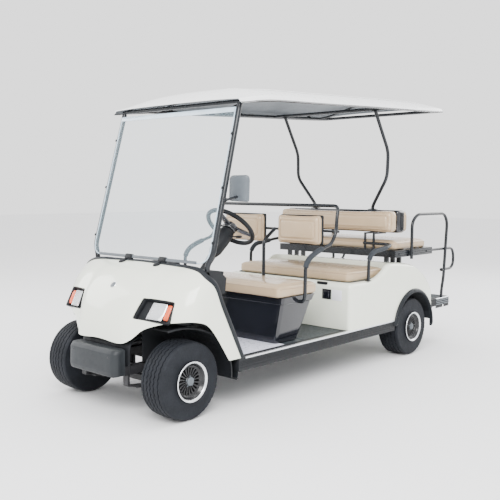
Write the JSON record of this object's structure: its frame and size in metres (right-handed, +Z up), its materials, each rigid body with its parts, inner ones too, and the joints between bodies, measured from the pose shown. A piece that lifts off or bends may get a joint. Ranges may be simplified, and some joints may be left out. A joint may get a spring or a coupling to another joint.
{
  "type": "golf cart",
  "caption": "Electric golf cart with a front bench, a middle bench and a rear-facing bench under one long roof, with a clear windshield, rear step and handrails.",
  "frame": {"origin": "on the ground under the middle of the cart's whole length and width", "axes": "+Z up, -Y towards the front, +X towards the driver's left"},
  "size_m": [1.289, 3.4685, 2.0772],
  "materials": {
    "black_steel": "satin",
    "bare_steel": "satin",
    "battery_case": "matte",
    "tyre": "matte",
    "rim": "gloss",
    "floor_mat": "matte",
    "black_plastic": "satin",
    "cream_body": "gloss",
    "rubber_trim": "matte",
    "lamp_glass": "gloss",
    "black_tube": "satin",
    "clear_sheet": "clear",
    "grey_plastic": "satin",
    "white_roof": "gloss",
    "gloss_black": "gloss",
    "beige_vinyl": "satin",
    "foam": "matte"
  },
  "bodies": {
    "chassis": {"chassis_frame": "black_steel", "front_axle": "black_steel", "leaf_springs": "black_steel", "rear_axle": "black_steel", "battery_pack": "battery_case", "floor_pan": "floor_mat", "side_sills": "black_plastic", "front_cowl": "cream_body", "cowl_trim": "rubber_trim", "front_bumper": "black_plastic", "lamps": "lamp_glass", "wheel_tubs": "black_plastic", "dashboard": "black_plastic", "pedals": "bare_steel", "steering_column": "black_plastic", "windshield_frame": "black_tube", "windshield_glass": "clear_sheet", "side_mirror": "grey_plastic", "roof_panel": "white_roof", "roof_frame": "black_tube", "rear_roof_posts": "black_tube", "front_seat_base": "gloss_black", "front_seat_frame": "black_tube", "front_backrests": "beige_vinyl", "armrest_pads": "foam", "rear_body": "cream_body", "middle_armrests": "black_tube", "rear_seat_frame": "black_tube", "backrest_shell": "black_plastic", "backrest_cushions": "beige_vinyl", "rear_seat_cushion": "beige_vinyl", "rear_step": "black_plastic", "handrails": "black_tube", "wheel_flares": "black_plastic"},
    "steering_wheel": {"steering_wheel": "black_plastic"},
    "knuckle_left": {"knuckle_left": "bare_steel"},
    "knuckle_right": {"knuckle_right": "bare_steel"},
    "tie_rod": {"tie_rod": "bare_steel"},
    "front_left_wheel": {"tyre_front_left": "tyre", "rim_front_left": "rim"},
    "front_right_wheel": {"tyre_front_right": "tyre", "rim_front_right": "rim"},
    "rear_left_wheel": {"tyre_rear_left": "tyre", "rim_rear_left": "rim"},
    "rear_right_wheel": {"tyre_rear_right": "tyre", "rim_rear_right": "rim"},
    "front_seat": {"front_seat_cushion": "beige_vinyl"},
    "middle_seat": {"middle_seat_cushion": "beige_vinyl"}
  },
  "joints": [
    {"name": "steer_left", "type": "hinge", "parent": "chassis", "child": "knuckle_left", "pos_m": [0.4, -1.435, 0.2286], "axis": [0, 0, 1], "range_deg": [-30, 30]},
    {"name": "steer_right", "type": "hinge", "parent": "chassis", "child": "knuckle_right", "pos_m": [-0.4, -1.435, 0.2286], "axis": [0, 0, 1], "range_deg": [-30, 30]},
    {"name": "tie_rod_swing", "type": "hinge", "parent": "knuckle_left", "child": "tie_rod", "pos_m": [0.4, -1.385, 0.2286], "axis": [0, 0, 1], "range_deg": [-30, 30]},
    {"name": "steering_turn", "type": "hinge", "parent": "chassis", "child": "steering_wheel", "pos_m": [0.3, -0.855, 1.08], "axis": [0, 0.682, 0.7314], "range_deg": [-450, 450]},
    {"name": "front_left_spin", "type": "hinge", "parent": "knuckle_left", "child": "front_left_wheel", "pos_m": [0.456, -1.435, 0.2286], "axis": [1, 0, 0], "continuous": true},
    {"name": "front_right_spin", "type": "hinge", "parent": "knuckle_right", "child": "front_right_wheel", "pos_m": [-0.456, -1.435, 0.2286], "axis": [1, 0, 0], "continuous": true},
    {"name": "rear_left_spin", "type": "hinge", "parent": "chassis", "child": "rear_left_wheel", "pos_m": [0.514, 0.965, 0.2286], "axis": [1, 0, 0], "continuous": true},
    {"name": "rear_right_spin", "type": "hinge", "parent": "chassis", "child": "rear_right_wheel", "pos_m": [-0.514, 0.965, 0.2286], "axis": [1, 0, 0], "continuous": true},
    {"name": "front_seat_lift", "type": "hinge", "parent": "chassis", "child": "front_seat", "pos_m": [0, -0.21, 0.6973], "axis": [-1, 0, 0], "range_deg": [0, 70]},
    {"name": "middle_seat_lift", "type": "hinge", "parent": "chassis", "child": "middle_seat", "pos_m": [0, 0.65, 0.7323], "axis": [-1, 0, 0], "range_deg": [0, 70]}
  ],
  "couplings": [
    {"joint": "steer_right", "follows": "steer_left", "ratio": 1},
    {"joint": "tie_rod_swing", "follows": "steer_left", "ratio": -1},
    {"joint": "steering_turn", "follows": "steer_left", "ratio": 15}
  ]
}
